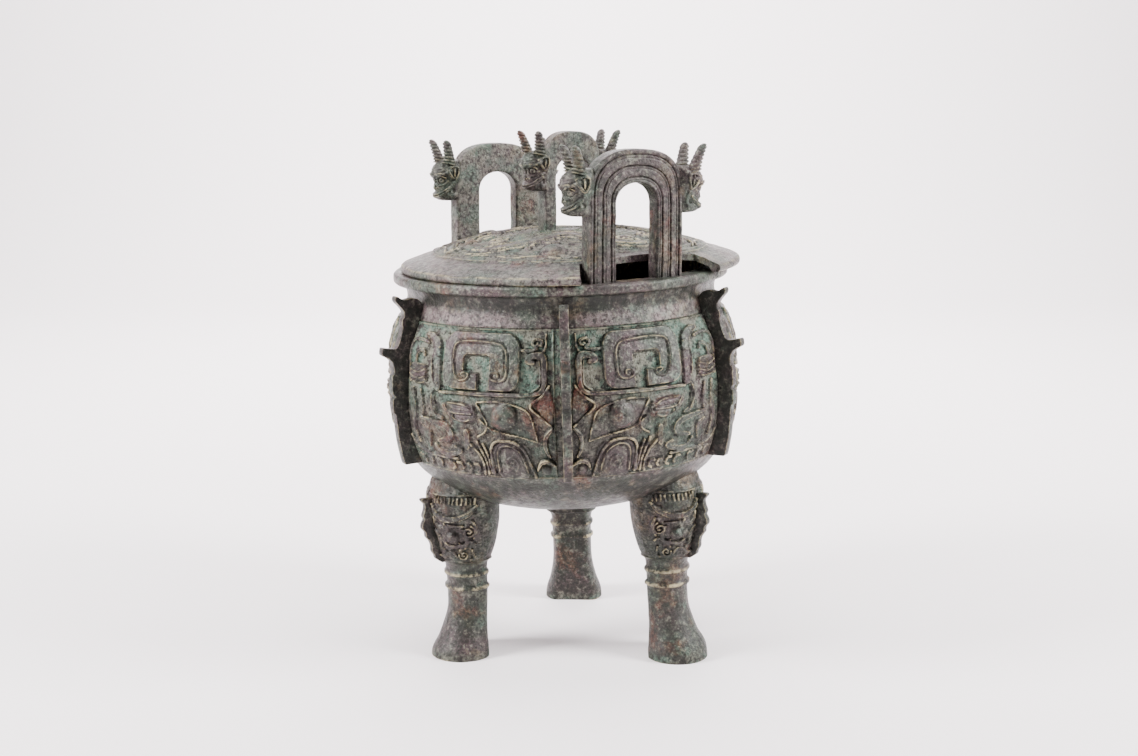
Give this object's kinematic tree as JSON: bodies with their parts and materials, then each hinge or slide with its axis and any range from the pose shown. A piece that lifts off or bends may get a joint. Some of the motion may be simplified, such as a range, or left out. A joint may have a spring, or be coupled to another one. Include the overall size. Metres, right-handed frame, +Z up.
{
  "type": "lidded bronze ding vessel",
  "caption": "Cast bronze ding: a round footed cooking vessel with a relief band of masks, upright rim handles, and a notched, loose lid with its own loop handle",
  "frame": {"origin": "on the floor, under the middle of the whole part's footprint box; the bowl's own axis meets the floor 5 mm to the right of it and leans 1.6 degrees to the left", "axes": "+Z up, -Y the front with a flange on the middle of its mask, +X to the viewer's right; the rim handles stand 28 degrees round from the front and opposite that"},
  "size_m": [0.2288, 0.2576, 0.3383],
  "materials": {
    "vessel_bronze": "old cast bronze, dark grey-green with brown-red and pale green patina",
    "lid_bronze": "old cast bronze, grey-green with pale green and brown patina"
  },
  "bodies": {
    "root": {"vessel": "vessel_bronze", "lid": "lid_bronze"}
  },
  "joints": []
}
